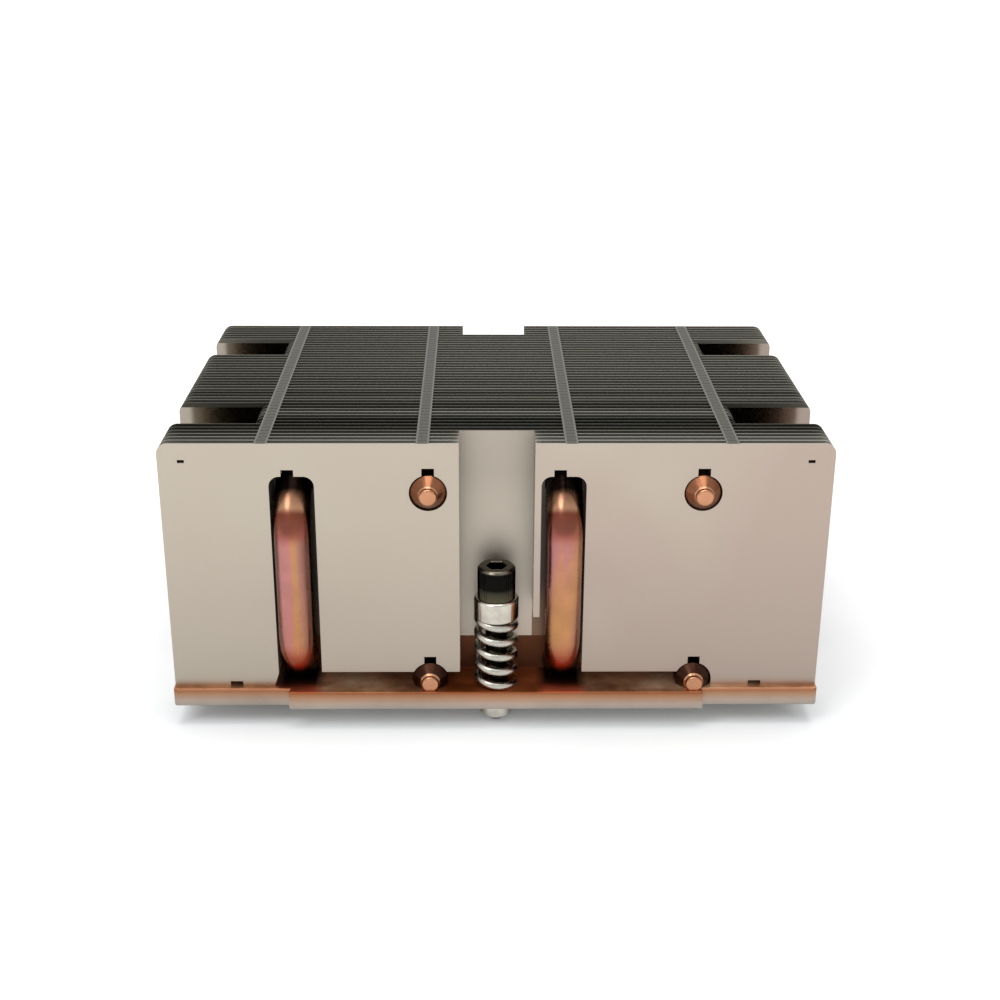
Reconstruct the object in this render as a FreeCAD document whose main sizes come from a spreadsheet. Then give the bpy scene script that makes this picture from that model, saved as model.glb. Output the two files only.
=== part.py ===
import FreeCAD, Part
import math
import os

import Sketcher
from FreeCAD import Placement, Rotation, Vector

# Passive heatsink for a two-screw server processor socket, in millimetres.
# Frame: +Z up, X along the fins, -Y the front. The origin is the centre of the contact face, where the
# copper pedestal meets the processor. Levels named "lip" are on top of the base plate.

DRIVING_SIZES = {
    # Contact pedestal and base plate, one machined copper piece.
    "pedestal_width": 64.0,
    "pedestal_depth": 60.0,
    "pedestal_height": 5.0,
    "base_side_margin": 0.25,
    "base_depth": 96.2,
    "base_thickness": 4.3,
    "base_corner_radius": 0.8,
    "centre_width": 92.8,
    "screw_edge_margin": 5.55,
    # Copper block on the base plate, which clamps the lower legs of the heat pipes.
    "block_height": 8.2,
    "block_side_wall": 1.8,
    # Heat pipes: each is a C of round tube, bent at one end of the stack and sealed at the other.
    "pipe_radius": 4.0,
    "pipe_bend_radius": 12.0,
    "pipe_inner_place": 14.8,
    "pipe_outer_place": 44.4,
    "pipe_low_height": 1.45,
    "pipe_high_height": 46.6,
    "pipe_bend_overhang": 3.7,
    "pipe_end_setback": 0.3,
    "pipe_cone_length": 2.2,
    "pipe_nub_radius": 1.9,
    "pipe_nub_length": 1.1,
    "pipe_nub_chamfer": 0.5,
    "solder_gap": 0.08,
    # Fin stack.
    "fin_count": 45,
    "fin_width": 144.5,
    "fin_height": 57.9,
    "fin_gauge": 0.4,
    "fin_corner_radius": 2.4,
    "stack_depth": 92.6,
    "hole_gap": 0.12,
    "nib_width": 2.7,
    "nib_height": 1.5,
    "fold_gap": 0.05,
    "tab_width": 2.8,
    "tab_inner_place": 15.9,
    "tab_outer_place": 50.2,
    # Screw notches at the middle of the front and rear, and clearances in the two sides.
    "split_count": 4,
    "notch_width": 16.3,
    "centre_relief": 3.3,
    "slot_half_width": 4.85,
    "slot_top_height": 50.4,
    "slot_corner_radius": 2.3,
    "slot_inward_shift": 0.4,
    "slot_nib_shift": 0.8,
    "slot_flare_width": 1.3,
    "slot_flare_height": 3.0,
    "finger_end_height": 17.0,
    "slit_edge_gap": 5.05,
    "slit_height": 53.5,
    "slit_width": 1.5,
    "slit_thickness": 0.7,
    "foot_relief_place": 58.4,
    "foot_relief_width": 2.8,
    "foot_relief_height": 1.0,
    "stretched_count": 2,
    "hole_stretch": 1.4,
    "side_first_row": 7,
    "side_last_row": 12,
    "narrow_leg_width": 3.45,
    "cut_margin": 1.0,
    # Captive spring screws.
    "screw_pitch": 88.9,
    "shank_radius": 2.4,
    "shank_hole_gap": 0.4,
    "head_radius": 4.2,
    "head_height": 7.4,
    "head_chamfer": 0.5,
    "socket_across": 4.0,
    "socket_depth": 3.6,
    "thread_radius": 2.0,
    "thread_length": 1.0,
    "tip_chamfer": 0.3,
    "tip_clearance": 0.4,
    "collar_radius": 5.0,
    "collar_height": 4.8,
    "collar_chamfer": 0.4,
    "collar_bore_gap": 0.08,
    "spigot_length": 2.2,
    "spring_length": 16.6,
    "spring_radius": 5.0,
    "wire_diameter": 1.8,
    "spring_turn_count": 4.6,
    "spring_fit_gap": 0.3,
    "retainer_radius": 3.65,
    "retainer_height": 3.4,
    "retainer_chamfer": 0.4,
    "retainer_gap": 0.1,
}

doc = FreeCAD.newDocument("PassiveHeatsink")
sheet = doc.addObject("Spreadsheet::Sheet", "Dims")
for row, (name, value) in enumerate(DRIVING_SIZES.items(), 1):
    sheet.set(f"A{row}", name)
    sheet.set(f"B{row}", str(value))
    sheet.setAlias(f"B{row}", name)
doc.recompute()


class Size:
    """A length that carries its number and the spreadsheet expression behind it."""

    def __init__(self, number, text):
        self.number = number
        self.text = text

    def __add__(self, other):
        other = as_size(other)
        return Size(self.number + other.number, f"({self.text} + {other.text})")

    def __sub__(self, other):
        other = as_size(other)
        return Size(self.number - other.number, f"({self.text} - {other.text})")

    def __mul__(self, factor):
        factor = as_size(factor)
        return Size(self.number * factor.number, f"({self.text} * {factor.text})")

    def __truediv__(self, divisor):
        divisor = as_size(divisor)
        return Size(self.number / divisor.number, f"({self.text} / {divisor.text})")

    def __neg__(self):
        return Size(-self.number, f"(-1 * {self.text})")


def as_size(value):
    """A plain number as a size that is not bound to any cell."""
    return value if isinstance(value, Size) else Size(value, repr(float(value)))


def dim(name):
    """The driving size of this name."""
    return Size(float(sheet.get(name)), f"Dims.{name}")


def whole(name):
    """A driving count, such as a number of rows."""
    return round(float(sheet.get(name)))


def bind(thing, target, size):
    """Tie a property, or one of its members, to the expression of a size."""
    size = as_size(size)
    if "." not in target and "[" not in target:
        setattr(thing, target, size.number)
    thing.setExpression(target, size.text)


def new_body(label, several_solids=False):
    body = doc.addObject("PartDesign::Body", label)
    body.Label = label
    body.AllowCompound = several_solids
    return body


def new_sketch(body, label, plane, offset=()):
    """A sketch on one of the body's own origin planes, moved by offset in the sketch's own axes."""
    sketch = body.newObject("Sketcher::SketchObject", label)
    support = next(part for part in body.Origin.OriginFeatures if part.Role == plane)
    sketch.AttachmentSupport = (support, [""])
    sketch.MapMode = "FlatFace"
    for axis, size in zip("xyz", offset):
        bind(sketch, f"AttachmentOffset.Base.{axis}", size)
    return sketch


def place_point(sketch, geometry, point, corner):
    """Hold one point of the sketch at its two distances from the sketch's origin."""
    for kind, axis, size in (("DistanceX", -2, corner[0]), ("DistanceY", -1, corner[1])):
        size = as_size(size)
        if size.number == 0:
            sketch.addConstraint(Sketcher.Constraint("PointOnObject", geometry, point, axis))
            continue
        ends = (-1, 1, geometry, point)
        if size.number < 0:
            ends = (geometry, point, -1, 1)
            size = -size
        index = sketch.addConstraint(Sketcher.Constraint(kind, *ends, size.number))
        bind(sketch, f"Constraints[{index}]", size)


def draw_polygon(sketch, corners):
    """A closed outline of straight lines through the corners."""
    points = [Vector(as_size(x).number, as_size(y).number, 0) for x, y in corners]
    first = sketch.GeometryCount
    for start, end in zip(points, points[1:] + points[:1]):
        sketch.addGeometry(Part.LineSegment(start, end), False)
    for index, corner in enumerate(corners):
        line = first + index
        before = first + (index - 1) % len(corners)
        sketch.addConstraint(Sketcher.Constraint("Coincident", before, 2, line, 1))
        place_point(sketch, line, 1, corner)


def draw_rectangle(sketch, left, right, bottom, top):
    draw_polygon(sketch, [(left, bottom), (right, bottom), (right, top), (left, top)])


def draw_circle(sketch, x, y, radius):
    middle = Vector(as_size(x).number, as_size(y).number, 0)
    circle = sketch.addGeometry(Part.Circle(middle, Vector(0, 0, 1), as_size(radius).number), False)
    place_point(sketch, circle, 3, (x, y))
    index = sketch.addConstraint(Sketcher.Constraint("Radius", circle, as_size(radius).number))
    bind(sketch, f"Constraints[{index}]", radius)


def add_pad(body, sketch, length, backwards=False):
    pad = body.newObject("PartDesign::Pad", "Pad")
    pad.Profile = sketch
    pad.Reversed = backwards
    bind(pad, "Length", length)
    return pad


def add_through_pocket(body, sketch):
    pocket = body.newObject("PartDesign::Pocket", "Pocket")
    pocket.Profile = sketch
    pocket.Type = "ThroughAll"
    return pocket


def add_revolution(body, sketch, axis):
    turned = body.newObject("PartDesign::Revolution", "Revolution")
    turned.Profile = sketch
    turned.ReferenceAxis = (sketch, [axis])
    turned.Angle = 360
    return turned


def add_fillet(body, feature, radius, chosen):
    """Round the edges of the feature that the test picks."""
    doc.recompute()
    edges = [f"Edge{index}" for index, edge in enumerate(feature.Shape.Edges, 1) if chosen(edge)]
    fillet = body.newObject("PartDesign::Fillet", "Fillet")
    fillet.Base = (feature, edges)
    bind(fillet, "Radius", radius)
    return fillet


def add_clone(original, label):
    """A body of its own that takes its shape from another body."""
    body = doc.addObject("PartDesign::Body", label)
    body.Label = label
    body.AllowCompound = original.AllowCompound
    shape = doc.addObject("PartDesign::FeatureBase", f"{label}_shape")
    body.Group = [shape]
    shape.BaseFeature = original
    shape.Placement = original.Placement
    body.Tip = shape
    return body


def turn_half_round(thing):
    """The rear of the heatsink is the front turned half a turn about Z."""
    thing.Placement = Placement(Vector(0, 0, 0), Rotation(Vector(0, 0, 1), 180))


NODES = {}


def keep(thing, label):
    """Make a finished piece a node of the part."""
    thing.Label = label
    NODES[label] = thing
    return thing


TOUCH = 1e-6  # places closer together than this are the same
WIRE_SIDES = 6  # the spring's wire is drawn with this many flats

# Levels and places that several pieces share.
base_width = dim("fin_width") + dim("base_side_margin") * 2
lip_level = dim("pedestal_height") + dim("base_thickness")
fin_pitch = (dim("stack_depth") - dim("fin_gauge")) / (dim("fin_count") - 1)
front_face = -(dim("stack_depth") / 2)
notch_depth = fin_pitch * dim("split_count")
block_half_width = dim("pipe_outer_place") + dim("pipe_radius") + dim("block_side_wall")
block_half_depth = dim("stack_depth") / 2 - notch_depth
hole_radius = dim("pipe_radius") + dim("hole_gap")


# ---- Heat pipes ----------------------------------------------------------------------------------

def pipe_run(body, place, radius):
    """The round C of a heat pipe: lower leg, bend, upright, bend and upper leg, swept in one go."""
    low = lip_level + dim("pipe_low_height")
    high = lip_level + dim("pipe_high_height")
    bend = dim("pipe_bend_radius")
    upright = front_face - dim("pipe_bend_overhang") + dim("pipe_radius")
    leg_end = dim("stack_depth") / 2 - dim("pipe_end_setback")

    spine = new_sketch(body, "Spine", "YZ_Plane", (0, 0, place))
    start, end = Vector(leg_end.number, low.number, 0), Vector(leg_end.number, high.number, 0)
    corner_y = upright.number
    r = bend.number
    low_turn = Vector(corner_y + r, low.number + r, 0)
    high_turn = Vector(corner_y + r, high.number - r, 0)
    up = Vector(0, 0, 1)
    pieces = [
        Part.LineSegment(start, Vector(low_turn.x, low.number, 0)),
        Part.ArcOfCircle(Part.Circle(low_turn, up, r), math.pi, 1.5 * math.pi),
        Part.LineSegment(Vector(corner_y, low_turn.y, 0), Vector(corner_y, high_turn.y, 0)),
        Part.ArcOfCircle(Part.Circle(high_turn, up, r), 0.5 * math.pi, math.pi),
        Part.LineSegment(Vector(high_turn.x, high.number, 0), end),
    ]
    for piece in pieces:
        spine.addGeometry(piece, False)
    for joint in ((0, 2, 1, 2), (1, 1, 2, 1), (2, 2, 3, 2), (3, 1, 4, 1)):
        spine.addConstraint(Sketcher.Constraint("Tangent", *joint))
    place_point(spine, 0, 1, (leg_end, low))
    place_point(spine, 4, 2, (leg_end, high))
    spine.addConstraint(Sketcher.Constraint("Horizontal", 0))
    spine.addConstraint(Sketcher.Constraint("Vertical", 2))
    spine.addConstraint(Sketcher.Constraint("Horizontal", 4))
    for arc in (1, 3):
        index = spine.addConstraint(Sketcher.Constraint("Radius", arc, r))
        bind(spine, f"Constraints[{index}]", bend)
    index = spine.addConstraint(Sketcher.Constraint("DistanceX", 2, 1, -1, 1, -corner_y))
    bind(spine, f"Constraints[{index}]", -upright)

    section = new_sketch(body, "Section", "XZ_Plane", (0, 0, -leg_end))
    draw_circle(section, place, low, radius)
    run = body.newObject("PartDesign::AdditivePipe", "Run")
    run.Profile = section
    run.Spine = (spine, [f"Edge{index}" for index in range(1, 6)])
    return leg_end, low, high


def pipe_tip(body, place, leg_end, height, grow):
    """A sealed end: the tube is swaged to a cone and closed in a short welded nub."""
    tip = new_sketch(body, "Tip", "YZ_Plane", (0, height, place))
    tube = dim("pipe_radius") + grow
    nub = dim("pipe_nub_radius") + grow
    cone_end = leg_end + dim("pipe_cone_length")
    nub_end = cone_end + dim("pipe_nub_length") + grow
    draw_polygon(tip, [
        (leg_end, 0),
        (nub_end, 0),
        (nub_end, nub - dim("pipe_nub_chamfer")),
        (nub_end - dim("pipe_nub_chamfer"), nub),
        (cone_end, nub),
        (leg_end, tube),
    ])
    add_revolution(body, tip, "H_Axis")


def heat_pipe(label, place, grow):
    """A heat pipe bent at the front, at this place along X. The body grown by a gap cuts its channel."""
    body = new_body(label)
    leg_end, low, high = pipe_run(body, place, dim("pipe_radius") + grow)
    pipe_tip(body, place, leg_end, low, grow)
    pipe_tip(body, place, leg_end, high, grow)
    return body


def both_ends(name, place, grow):
    """A pipe bent at the front and its twin bent at the rear."""
    front = heat_pipe(f"front_bend_{name}", place, grow)
    rear = add_clone(front, f"rear_bend_{name}")
    turn_half_round(rear)
    return [front, rear]


for name, place in (("outer_pipe", -dim("pipe_outer_place")), ("inner_pipe", dim("pipe_inner_place"))):
    for pipe in both_ends(name, place, as_size(0)):
        keep(pipe, pipe.Label)

channel_cutters = doc.addObject("Part::Compound", "ChannelCutters")
channel_cutters.Links = (
    both_ends("outer_channel", -dim("pipe_outer_place"), dim("solder_gap"))
    + both_ends("inner_channel", dim("pipe_inner_place"), dim("solder_gap"))
)


# ---- Base plate and pipe block -------------------------------------------------------------------

def cut_channels(blank, label):
    """The finished copper piece: its blank with the channels for the pipes cut in."""
    piece = doc.addObject("Part::Cut", f"{label}_cut")
    piece.Base = blank
    piece.Tool = channel_cutters
    return keep(piece, label)


def base_plate():
    """A plate with a contact pedestal below; its middle reaches further front and back than its wings."""
    body = new_body("base_blank")
    half = base_width / 2
    wing = dim("base_depth") / 2
    centre = dim("centre_width") / 2
    reach = dim("screw_pitch") / 2 + dim("screw_edge_margin")
    plan = new_sketch(body, "PlatePlan", "XY_Plane", (0, 0, dim("pedestal_height")))
    draw_polygon(plan, [
        (-half, -wing), (-centre, -wing), (-centre, -reach), (centre, -reach),
        (centre, -wing), (half, -wing), (half, wing), (centre, wing),
        (centre, reach), (-centre, reach), (-centre, wing), (-half, wing),
    ])
    plate = add_pad(body, plan, dim("base_thickness"))

    def is_wing_corner(edge):
        upright = abs(edge.tangentAt(edge.FirstParameter).z) > 1 - TOUCH
        return upright and abs(abs(edge.CenterOfMass.x) - half.number) < TOUCH

    add_fillet(body, plate, dim("base_corner_radius"), is_wing_corner)

    foot = new_sketch(body, "PedestalPlan", "XY_Plane")
    draw_rectangle(foot, -(dim("pedestal_width") / 2), dim("pedestal_width") / 2,
                   -(dim("pedestal_depth") / 2), dim("pedestal_depth") / 2)
    add_pad(body, foot, dim("pedestal_height"))

    holes = new_sketch(body, "ScrewHoles", "XY_Plane", (0, 0, lip_level))
    for side in (-1, 1):
        draw_circle(holes, 0, dim("screw_pitch") / 2 * side, dim("shank_radius") + dim("shank_hole_gap"))
    add_through_pocket(body, holes)
    return cut_channels(body, "base_plate")


def pipe_block():
    """The block between the notch walls, soldered over the lower legs of the pipes."""
    body = new_body("block_blank")
    plan = new_sketch(body, "BlockPlan", "XY_Plane", (0, 0, lip_level))
    draw_rectangle(plan, -block_half_width, block_half_width, -block_half_depth, block_half_depth)
    add_pad(body, plan, dim("block_height"))
    return cut_channels(body, "pipe_block")


base_plate()
pipe_block()


# ---- Fin stampings -------------------------------------------------------------------------------
# Each stamping is drawn with its lower edge at Z = 0 and its front face at Y = 0, and thickens towards +Y.

below = -dim("cut_margin")  # cuts that leave through the lower edge start here


def add_nib(sketch, place, centre, radius):
    """The solder nib: a small upward notch on top of a pipe opening."""
    draw_rectangle(sketch, place - dim("nib_width") / 2, place + dim("nib_width") / 2,
                   centre + radius / 2, centre + radius + dim("nib_height"))


def slot_roof(centre, side):
    """The top of a slot without its round corners: two steps beside them, and the nib off its middle."""
    slot, corner = dim("slot_half_width"), dim("slot_corner_radius")
    top, inset = dim("slot_top_height"), slot - corner
    nib, nib_top = centre - dim("slot_nib_shift") * side, top + dim("nib_height")
    half_nib = dim("nib_width") / 2
    return [
        (centre - slot * side, top - corner), (centre - inset * side, top - corner),
        (centre - inset * side, top), (nib - half_nib * side, top), (nib - half_nib * side, nib_top),
        (nib + half_nib * side, nib_top), (nib + half_nib * side, top), (centre + inset * side, top),
        (centre + inset * side, top - corner), (centre + slot * side, top - corner),
    ]


def round_top_corners(body, stamping, half_width):
    top = dim("fin_height").number

    def is_outer_top(edge):
        middle = edge.CenterOfMass
        return abs(abs(middle.x) - half_width.number) < TOUCH and abs(middle.z - top) < TOUCH

    return add_fillet(body, stamping, dim("fin_corner_radius"), is_outer_top)


def add_folds(body, feet):
    """Tabs folded back from the top edge, and feet folded back from the lower edges, to the next fin."""
    folds = new_sketch(body, "Folds", "XZ_Plane", (0, 0, -dim("fin_gauge")))
    gauge = dim("fin_gauge")
    for name in ("tab_inner_place", "tab_outer_place"):
        for side in (-1, 1):
            middle = dim(name) * side
            draw_rectangle(folds, middle - dim("tab_width") / 2, middle + dim("tab_width") / 2,
                           dim("fin_height") - gauge, dim("fin_height"))
    for left, right, level in feet:
        draw_rectangle(folds, left, right, level, as_size(level) + gauge)
    add_pad(body, folds, fin_pitch - gauge - dim("fold_gap"), backwards=True)


def split_fin(label, side, folded=True):
    """The two halves of a row that the screw notch splits. side is 1 for the front rows, and -1 for the
    rear ones, which are their mirror image. Bent pipes pass in slots open below; the straight legs of
    the other two pipes pass in holes above and under arches below."""
    body = new_body(label, several_solids=True)
    half = dim("fin_width") / 2
    notch = dim("notch_width") / 2
    outer, inner = dim("pipe_outer_place"), dim("pipe_inner_place")
    relief, top = dim("centre_relief"), dim("fin_height")
    outline = new_sketch(body, "Outline", "XZ_Plane")
    for mirror in (-1, 1):
        draw_polygon(outline, [
            (half * mirror, 0), (outer * mirror, 0), (outer * mirror, relief),
            (notch * mirror, relief), (notch * mirror, top), (half * mirror, top),
        ])
    stamping = add_pad(body, outline, dim("fin_gauge"), backwards=True)
    round_top_corners(body, stamping, half)

    slots = (-(outer - dim("slot_inward_shift")) * side, (inner - dim("slot_inward_shift")) * side)
    legs = (-inner * side, outer * side)
    slot, slot_top = dim("slot_half_width"), dim("slot_top_height")
    corner = dim("slot_corner_radius")
    shoulder = slot_top - corner
    rounds = new_sketch(body, "RoundOpenings", "XZ_Plane")
    for place in slots:
        for end in (-1, 1):
            draw_circle(rounds, place + (slot - corner) * end, shoulder, corner)
    for place in legs:
        draw_circle(rounds, place, dim("pipe_high_height"), hole_radius)
        draw_circle(rounds, place, dim("pipe_low_height"), hole_radius)
    add_through_pocket(body, rounds)

    straights = new_sketch(body, "StraightOpenings", "XZ_Plane")
    flare, flare_top = slot + dim("slot_flare_width"), dim("slot_flare_height")
    draw_polygon(straights, slot_roof(slots[0], side) + [
        (slots[0] + slot * side, flare_top), (slots[0] + flare * side, below),
        (slots[0] - flare * side, below), (slots[0] - slot * side, flare_top),
    ])
    # The narrow finger between the notch and the inner slot stops short, clear of the spring.
    near, far = slots[1] - slot * side, slots[1] + slot * side
    beyond_notch = (notch - dim("cut_margin")) * side
    draw_polygon(straights, slot_roof(slots[1], side) + [
        (far, flare_top), (far + dim("slot_flare_width") * side, below),
        (beyond_notch, below), (beyond_notch, dim("finger_end_height")), (near, dim("finger_end_height")),
    ])
    for place in legs:
        add_nib(straights, place, dim("pipe_high_height"), hole_radius)
        add_nib(straights, place, dim("pipe_low_height"), hole_radius)
        draw_rectangle(straights, place - hole_radius, place + hole_radius, below, dim("pipe_low_height"))
    relief_start = dim("foot_relief_place") - dim("foot_relief_width") / 2
    relief_end = dim("foot_relief_place") + dim("foot_relief_width") / 2
    for mirror in (-1, 1):
        slit = (half - dim("slit_edge_gap")) * mirror
        draw_rectangle(straights, slit - dim("slit_width") / 2, slit + dim("slit_width") / 2,
                       dim("slit_height"), dim("slit_height") + dim("slit_thickness"))
        draw_rectangle(straights, relief_start * mirror, relief_end * mirror,
                       below, dim("foot_relief_height"))
    add_through_pocket(body, straights)
    if folded:
        foot_start = outer + flare
        add_folds(body, [
            (-half, -relief_end, 0), (-relief_start, -foot_start, 0),
            (foot_start, relief_start, 0), (relief_end, half, 0),
        ])
    return body


def whole_fin(label, half_width, stretched=(), last_on_block=False):
    """An unsplit fin, cut out below for the pipe block. A hole is stretched down where a bend begins.
    The last one on the block has no foot there, because nothing behind it would carry the foot."""
    body = new_body(label)
    opening = block_half_width + dim("solder_gap")
    top, block_top = dim("fin_height"), dim("block_height")
    outline = new_sketch(body, "Outline", "XZ_Plane")
    draw_polygon(outline, [
        (-half_width, 0), (-opening, 0), (-opening, block_top), (opening, block_top), (opening, 0),
        (half_width, 0), (half_width, top), (-half_width, top),
    ])
    stamping = add_pad(body, outline, dim("fin_gauge"), backwards=True)
    round_top_corners(body, stamping, half_width)

    places = [dim(name) * side for name in ("pipe_outer_place", "pipe_inner_place") for side in (-1, 1)]
    high = dim("pipe_high_height")
    rounds = new_sketch(body, "PipeHoles", "XZ_Plane")
    straights = new_sketch(body, "Nibs", "XZ_Plane")
    for place in places:
        draw_circle(rounds, place, high, hole_radius)
        add_nib(straights, place, high, hole_radius)
    for place in stretched:
        draw_rectangle(straights, place - hole_radius, place + hole_radius,
                       high - dim("hole_stretch"), high)
    add_through_pocket(body, rounds)
    add_through_pocket(body, straights)
    if stretched:
        lower = new_sketch(body, "LowerRounds", "XZ_Plane")
        for place in stretched:
            draw_circle(lower, place, high - dim("hole_stretch"), hole_radius)
        add_through_pocket(body, lower)
    feet = [(-half_width, -opening, 0), (opening, half_width, 0)]
    if not last_on_block:
        feet.append((-block_half_width, block_half_width, block_top))
    add_folds(body, feet)
    return body


full_half_width = dim("fin_width") / 2
bent_at_front = (-dim("pipe_outer_place"), dim("pipe_inner_place"))
bent_at_rear = (dim("pipe_outer_place"), -dim("pipe_inner_place"))
STAMPINGS = {
    "split_front": split_fin("split_front_stamping", 1),
    "split_rear": split_fin("split_rear_stamping", -1),
    "split_last": split_fin("split_last_stamping", -1, folded=False),
    "bend_front": whole_fin("bend_front_stamping", full_half_width, bent_at_front),
    "bend_rear": whole_fin("bend_rear_stamping", full_half_width, bent_at_rear),
    "rear_wall": whole_fin("rear_wall_stamping", full_half_width, bent_at_rear, last_on_block=True),
    "full": whole_fin("full_stamping", full_half_width),
    "narrow": whole_fin("narrow_stamping", block_half_width + dim("narrow_leg_width")),
}


def stamping_of_row(row):
    """Which stamping a row uses, counted from the front. The side clearances keep the rows narrow."""
    last = whole("fin_count") - 1
    from_end = min(row, last - row)
    at_front = row < last / 2
    if row == last:
        return "split_last"
    if from_end < whole("split_count"):
        return "split_front" if at_front else "split_rear"
    if row == last - whole("split_count"):
        return "rear_wall"
    if from_end < whole("split_count") + whole("stretched_count"):
        return "bend_front" if at_front else "bend_rear"
    if whole("side_first_row") <= from_end <= whole("side_last_row"):
        return "narrow"
    return "full"


def fin_stack():
    for row in range(whole("fin_count")):
        label = f"fin_{row + 1:02d}"
        fin = add_clone(STAMPINGS[stamping_of_row(row)], label)
        bind(fin, "Placement.Base.y", front_face + fin_pitch * row)
        bind(fin, "Placement.Base.z", lip_level)
        keep(fin, label)


fin_stack()


# ---- Captive spring screws -----------------------------------------------------------------------
# Each is drawn on its own axis at X = Y = 0 and at its real height, then moved to the front or rear hole.

spring_top = lip_level + dim("spring_length")
collar_top = spring_top + dim("collar_height")
head_top = collar_top + dim("head_height")
shank_shoulder = dim("tip_clearance") + dim("thread_length")


def turned_piece(label, corners):
    """A turned piece from its half section, given as (radius, height) corners."""
    body = new_body(label)
    section = new_sketch(body, "HalfSection", "XZ_Plane")
    draw_polygon(section, corners)
    add_revolution(body, section, "V_Axis")
    return body


def screw():
    """A shouldered socket-head screw: long plain shank, and a short thread below the retainer."""
    shank, head, thread = dim("shank_radius"), dim("head_radius"), dim("thread_radius")
    tip = dim("tip_clearance")
    chamfer = dim("tip_chamfer")
    body = turned_piece("screw", [
        (0, tip),
        (thread - chamfer, tip),
        (thread, tip + chamfer),
        (thread, shank_shoulder),
        (shank, shank_shoulder),
        (shank, collar_top),
        (head, collar_top),
        (head, head_top - dim("head_chamfer")),
        (head - dim("head_chamfer"), head_top),
        (0, head_top),
    ])
    socket = new_sketch(body, "Socket", "XY_Plane", (0, 0, head_top))
    corner = dim("socket_across") / 2 / math.cos(math.pi / 6)
    angles = [math.radians(60 * step + 30) for step in range(6)]
    draw_polygon(socket, [(corner * math.cos(angle), corner * math.sin(angle)) for angle in angles])
    pocket = body.newObject("PartDesign::Pocket", "Pocket")
    pocket.Profile = socket
    bind(pocket, "Length", dim("socket_depth"))
    return body


def collar():
    """The steel collar under the head, with a spigot that keeps the spring central."""
    bore = dim("shank_radius") + dim("collar_bore_gap")
    outside = dim("collar_radius")
    spigot = dim("spring_radius") - dim("wire_diameter") - dim("spring_fit_gap")
    chamfer = dim("collar_chamfer")
    return turned_piece("collar", [
        (bore, spring_top - dim("spigot_length")),
        (spigot, spring_top - dim("spigot_length")),
        (spigot, spring_top),
        (outside, spring_top),
        (outside, collar_top - chamfer),
        (outside - chamfer, collar_top),
        (bore, collar_top),
    ])


def retainer():
    """The sleeve pressed on the shank below the plate, which keeps the screw captive."""
    top = dim("pedestal_height") - dim("retainer_gap")
    bottom = top - dim("retainer_height")
    outside, chamfer = dim("retainer_radius"), dim("retainer_chamfer")
    return turned_piece("retainer", [
        (dim("shank_radius"), bottom),
        (outside - chamfer, bottom),
        (outside, bottom + chamfer),
        (outside, top),
        (dim("shank_radius"), top),
    ])


def spring():
    """A left-hand compression spring with ends ground flat, from the lip up to the collar."""
    wire = dim("wire_diameter")
    middle = dim("spring_radius") - wire / 2
    body = new_body("spring")
    section = new_sketch(body, "WireSection", "XZ_Plane")
    rounding = wire / 2 / math.cos(math.pi / WIRE_SIDES)
    angles = [2 * math.pi * (step + 0.5) / WIRE_SIDES for step in range(WIRE_SIDES)]
    draw_polygon(section, [
        (middle + rounding * math.cos(angle), lip_level + rounding * math.sin(angle)) for angle in angles
    ])
    coil = body.newObject("PartDesign::AdditiveHelix", "Coil")
    coil.Profile = section
    coil.ReferenceAxis = (section, ["V_Axis"])
    coil.Mode = "height-turns-growth"
    bind(coil, "Height", dim("spring_length"))
    bind(coil, "Turns", dim("spring_turn_count"))
    coil.LeftHanded = True
    trims = new_sketch(body, "GroundEnds", "XZ_Plane")
    far = dim("spring_radius") + dim("cut_margin")
    draw_rectangle(trims, 0, far, lip_level - wire, lip_level)
    draw_rectangle(trims, 0, far, spring_top, spring_top + wire)
    grind = body.newObject("PartDesign::Groove", "Grind")
    grind.Profile = trims
    grind.ReferenceAxis = (trims, ["V_Axis"])
    grind.Angle = 360
    return body


def captive_screws():
    pieces = [("screw", screw()), ("spring_collar", collar()), ("spring", spring()), ("retainer", retainer())]
    for end, side in (("front", -1), ("rear", 1)):
        for name, original in pieces:
            label = f"{end}_{name}"
            piece = add_clone(original, label)
            bind(piece, "Placement.Base.y", dim("screw_pitch") / 2 * side)
            keep(piece, label)


captive_screws()


# ---- Checks and export ---------------------------------------------------------------------------

def check_model():
    doc.recompute()
    failed = [thing.Label for thing in doc.Objects if {"Invalid", "Error"} & set(thing.State)]
    if failed:
        raise RuntimeError("failed to compute: " + ", ".join(failed))
    for label, thing in NODES.items():
        if thing.Shape.isNull() or not thing.Shape.isValid() or not thing.Shape.Solids:
            raise RuntimeError("bad shape: " + label)


def export_nodes():
    os.makedirs("parts", exist_ok=True)
    for label, thing in NODES.items():
        thing.Shape.exportStep(os.path.join("parts", f"{label}.step"))
    print(f"{len(NODES)} nodes written")


check_model()
export_nodes()
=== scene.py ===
import math

import bmesh
import bpy
import numpy as np
from mathutils import Matrix, Vector


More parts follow.
